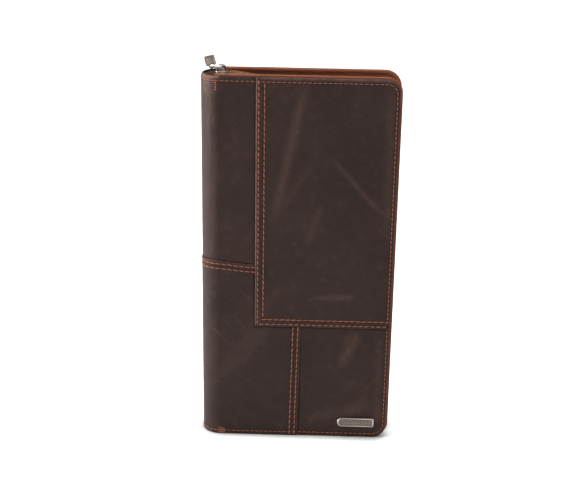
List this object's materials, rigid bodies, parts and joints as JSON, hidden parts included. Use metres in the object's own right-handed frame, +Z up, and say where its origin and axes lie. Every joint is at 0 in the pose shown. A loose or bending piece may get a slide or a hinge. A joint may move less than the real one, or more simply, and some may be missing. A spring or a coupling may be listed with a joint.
{
  "type": "travel document organizer",
  "caption": "Zip-around leather travel document organizer with folding round spine, lapped front panels, pockets, slider with pull and a small metal plate.",
  "frame": {"origin": "middle of the footprint, on the surface that the closed case stands on", "axes": "+Z up along the spine, the spine at -X, the front cover facing -Y and the back cover facing +Y"},
  "size_m": [0.1266, 0.0245, 0.2641],
  "materials": {
    "outer_leather": "dark brown pull-up leather, soft satin with paler scuffs",
    "pocket_leather": "smooth brown leather, satin",
    "zip_tape": "rust brown woven tape, matte",
    "zip_coil": "rust brown nylon coil, semi-matte",
    "lining": "brown woven lining, matte",
    "board": "pressed card, matte",
    "antique_nickel": "antique nickel, brushed with dark recesses",
    "clear_film": "clear flexible film, glossy"
  },
  "bodies": {
    "back_cover": {"back_main_panel": "outer_leather", "back_upper_side_panel": "outer_leather", "back_lower_side_panel": "outer_leather", "back_board": "board", "back_lining": "lining", "back_zip_tape": "zip_tape", "back_zip_coil": "zip_coil", "zip_end_top": "zip_tape", "zip_end_bottom": "zip_tape", "ticket_pocket": "pocket_leather", "passport_pocket": "pocket_leather", "pen_loop": "pocket_leather"},
    "spine_rear": {"spine_upper_rear": "outer_leather", "spine_lower_rear": "outer_leather", "spine_lining_rear": "lining"},
    "spine_middle": {"spine_upper_middle": "outer_leather", "spine_lower_middle": "outer_leather", "spine_lining_middle": "lining"},
    "spine_front": {"spine_upper_front": "outer_leather", "spine_lower_front": "outer_leather", "spine_lining_front": "lining"},
    "front_cover": {"front_main_panel": "outer_leather", "front_upper_side_panel": "outer_leather", "front_lower_side_panel": "outer_leather", "front_lower_panel": "outer_leather", "front_board": "board", "front_lining": "lining", "front_zip_tape": "zip_tape", "front_zip_coil": "zip_coil", "slip_pocket": "pocket_leather", "card_pocket_1": "pocket_leather", "card_pocket_2": "pocket_leather", "card_pocket_3": "pocket_leather", "window_frame": "pocket_leather", "window_film": "clear_film", "nameplate": "antique_nickel", "nameplate_washer_left": "antique_nickel", "nameplate_washer_right": "antique_nickel"},
    "slider": {"zip_slider": "antique_nickel"},
    "pull_link": {"pull_link": "antique_nickel"},
    "pull_tab": {"pull_tab": "antique_nickel"}
  },
  "joints": [
    {"name": "rear_crease", "type": "hinge", "parent": "back_cover", "child": "spine_rear", "pos_m": [-0.0515, 0.0116, 0.127], "axis": [0, 0, -1], "range_deg": [0, 30]},
    {"name": "rear_fold", "type": "hinge", "parent": "spine_rear", "child": "spine_middle", "pos_m": [-0.06155, 0.0058, 0.127], "axis": [0, 0, -1], "range_deg": [0, 60]},
    {"name": "front_fold", "type": "hinge", "parent": "spine_middle", "child": "spine_front", "pos_m": [-0.06155, -0.0058, 0.127], "axis": [0, 0, -1], "range_deg": [0, 60]},
    {"name": "front_crease", "type": "hinge", "parent": "spine_front", "child": "front_cover", "pos_m": [-0.0515, -0.0116, 0.127], "axis": [0, 0, -1], "range_deg": [0, 30]},
    {"name": "zip_slide", "type": "slide", "parent": "back_cover", "child": "slider", "axis": [1, 0, 0], "range_m": [0, 0.098]},
    {"name": "link_flip", "type": "hinge", "parent": "slider", "child": "pull_link", "pos_m": [-0.0505, 0, 0.2553], "axis": [0, 1, 0], "range_deg": [-4, 105]},
    {"name": "tab_swing", "type": "hinge", "parent": "pull_link", "child": "pull_tab", "pos_m": [-0.05684, 0, 0.25619], "axis": [0, 1, 0], "range_deg": [-60, 30]}
  ],
  "couplings": [
    {"joint": "rear_crease", "follows": "front_crease", "ratio": 1},
    {"joint": "rear_fold", "follows": "front_crease", "ratio": 2},
    {"joint": "front_fold", "follows": "front_crease", "ratio": 2}
  ]
}
